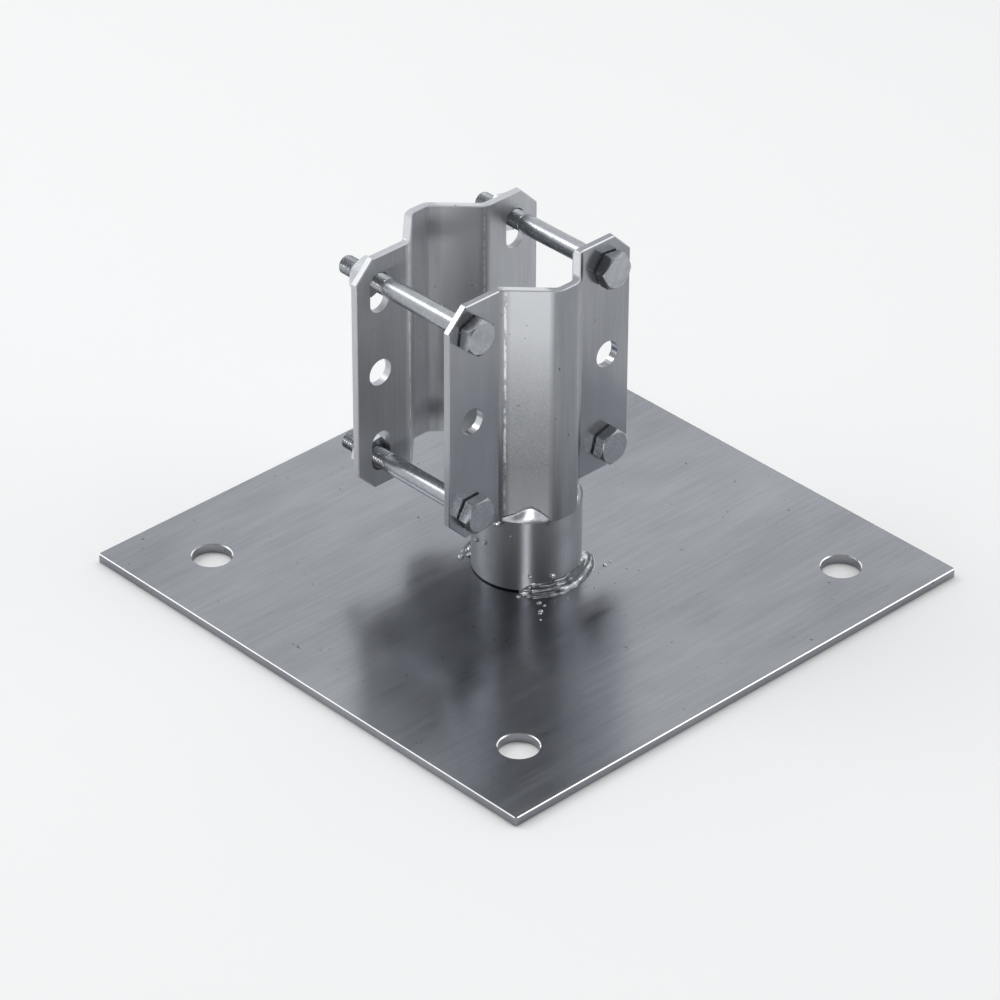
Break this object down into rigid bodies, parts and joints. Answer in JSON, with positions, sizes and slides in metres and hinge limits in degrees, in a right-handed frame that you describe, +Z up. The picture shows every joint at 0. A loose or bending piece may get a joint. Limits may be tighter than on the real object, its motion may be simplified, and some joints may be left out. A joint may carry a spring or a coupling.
{
  "type": "anchor plate",
  "caption": "Square steel anchor plate with corner anchor holes, a short welded stub tube and a two-part bolted clamp for a mast above it.",
  "frame": {"origin": "on the underside of the base plate, at its middle, under the stub tube's axis", "axes": "+Z up along the stub tube; +X along the clamp bolts, from the loose rear half towards the bolt heads; +Y along the clamp's flanges"},
  "size_m": [0.3, 0.3, 0.175],
  "materials": {
    "zinc_plate": "bright zinc-plated steel plate and tube, softly brushed and cloudy",
    "zinc_sheet": "bright zinc-plated folded sheet with rolling grain",
    "weld_bead": "shiny lumpy weld bead under the plating",
    "zinc_fastener": "bright zinc-plated bolt and nut"
  },
  "bodies": {
    "mast_foot": {"base_plate": "zinc_plate", "stub_tube": "zinc_plate", "base_weld_front": "weld_bead", "base_weld_rear": "weld_bead", "front_clamp_half": "zinc_sheet", "clamp_weld_left": "weld_bead", "clamp_weld_right": "weld_bead", "bolt_upper_left": "zinc_fastener", "bolt_upper_right": "zinc_fastener", "bolt_lower_left": "zinc_fastener", "bolt_lower_right": "zinc_fastener"},
    "rear_jaw": {"rear_clamp_half": "zinc_sheet", "nut_upper_left": "zinc_fastener", "nut_upper_right": "zinc_fastener", "nut_lower_left": "zinc_fastener", "nut_lower_right": "zinc_fastener"}
  },
  "joints": [
    {"name": "rear_jaw_slide", "type": "slide", "parent": "mast_foot", "child": "rear_jaw", "axis": [1, 0, 0], "range_m": [-0.012, 0.011]}
  ]
}
